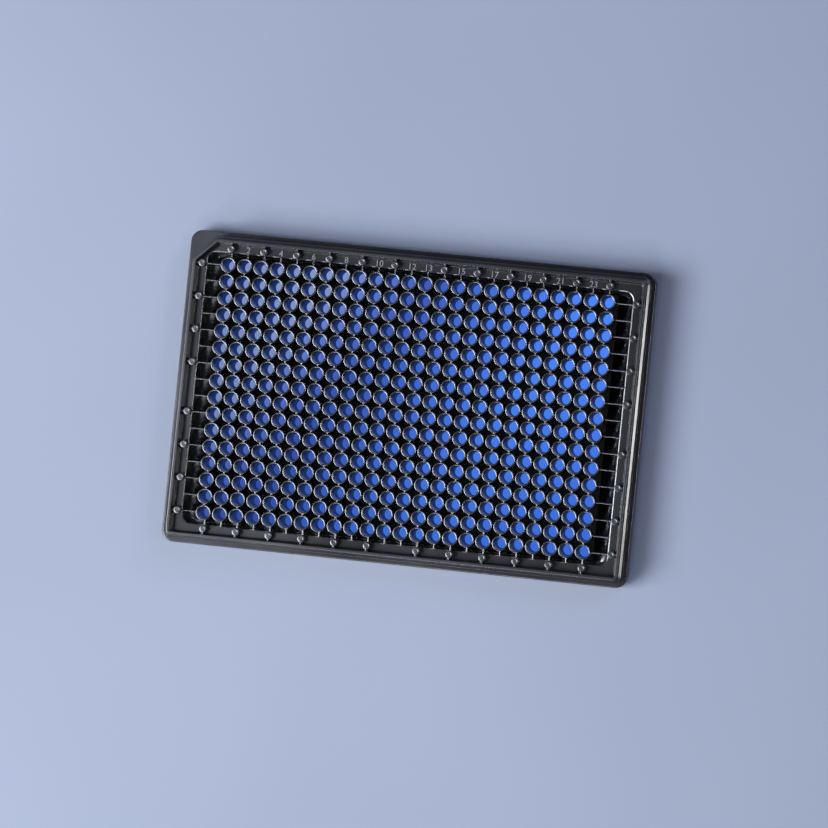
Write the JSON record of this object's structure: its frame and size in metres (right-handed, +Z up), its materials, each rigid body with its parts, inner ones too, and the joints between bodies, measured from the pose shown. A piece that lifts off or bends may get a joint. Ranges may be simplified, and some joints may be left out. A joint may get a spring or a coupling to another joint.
{
  "type": "microplate",
  "caption": "Black rectangular laboratory microplate with a grid of round chimney wells, clear film bottom, moat, ledge and stepped rim with one cut corner.",
  "frame": {"origin": "middle of the base, on the surface that the plate stands on", "axes": "+X along the long side from column 1 to column 24, +Y towards row A, +Z up out of the wells; well A1 and the cut corner are at -X, +Y"},
  "size_m": [0.1278, 0.0854, 0.0143],
  "materials": {
    "black_polystyrene": "moulded, satin black",
    "clear_film": "clear, smooth"
  },
  "bodies": {
    "root": {"plate_body": "black_polystyrene", "clear_film": "clear_film"}
  },
  "joints": []
}
